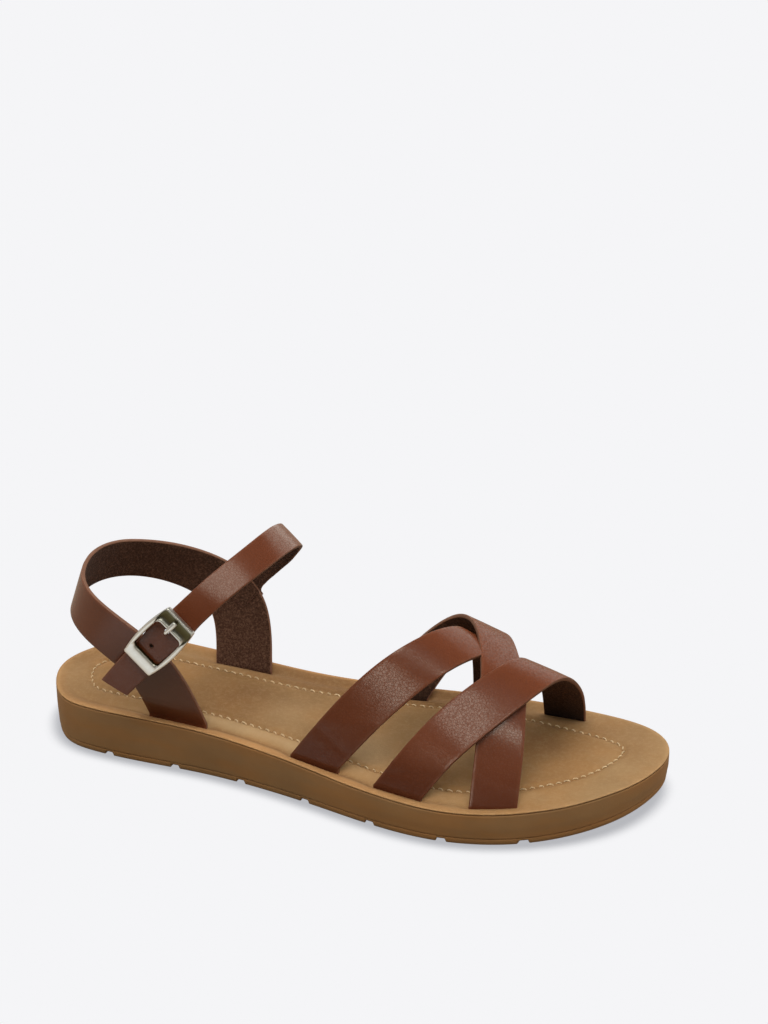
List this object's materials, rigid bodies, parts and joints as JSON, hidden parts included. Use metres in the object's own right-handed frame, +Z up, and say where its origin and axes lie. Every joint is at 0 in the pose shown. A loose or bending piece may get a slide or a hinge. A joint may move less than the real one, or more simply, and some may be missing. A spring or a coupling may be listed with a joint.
{
  "type": "strappy sandal",
  "caption": "Flat strappy sandal for the right foot: unit sole with padded footbed, crossed forefoot straps, heel strap and buckled ankle strap.",
  "frame": {"origin": "on the floor under the middle of the sole's length and width", "axes": "+X toward the toe, +Y toward the inner side of the foot, +Z up"},
  "size_m": [0.2606, 0.0955, 0.0989],
  "materials": {
    "sole_rubber": "matt tan-brown moulded foam rubber",
    "footbed": "matt light tan napped sheet over padding",
    "strap_leather": "grained red-brown leather-look sheet with a soft sheen",
    "elastic": "finely ribbed red-brown woven elastic",
    "buckle_metal": "bright silver plated metal"
  },
  "bodies": {
    "root": {"outsole": "sole_rubber", "insole": "footbed", "forefoot_straps": "strap_leather", "heel_strap": "strap_leather", "ankle_strap": "strap_leather", "buckle_elastic": "elastic", "buckle_frame": "buckle_metal", "buckle_prong": "buckle_metal"}
  },
  "joints": []
}
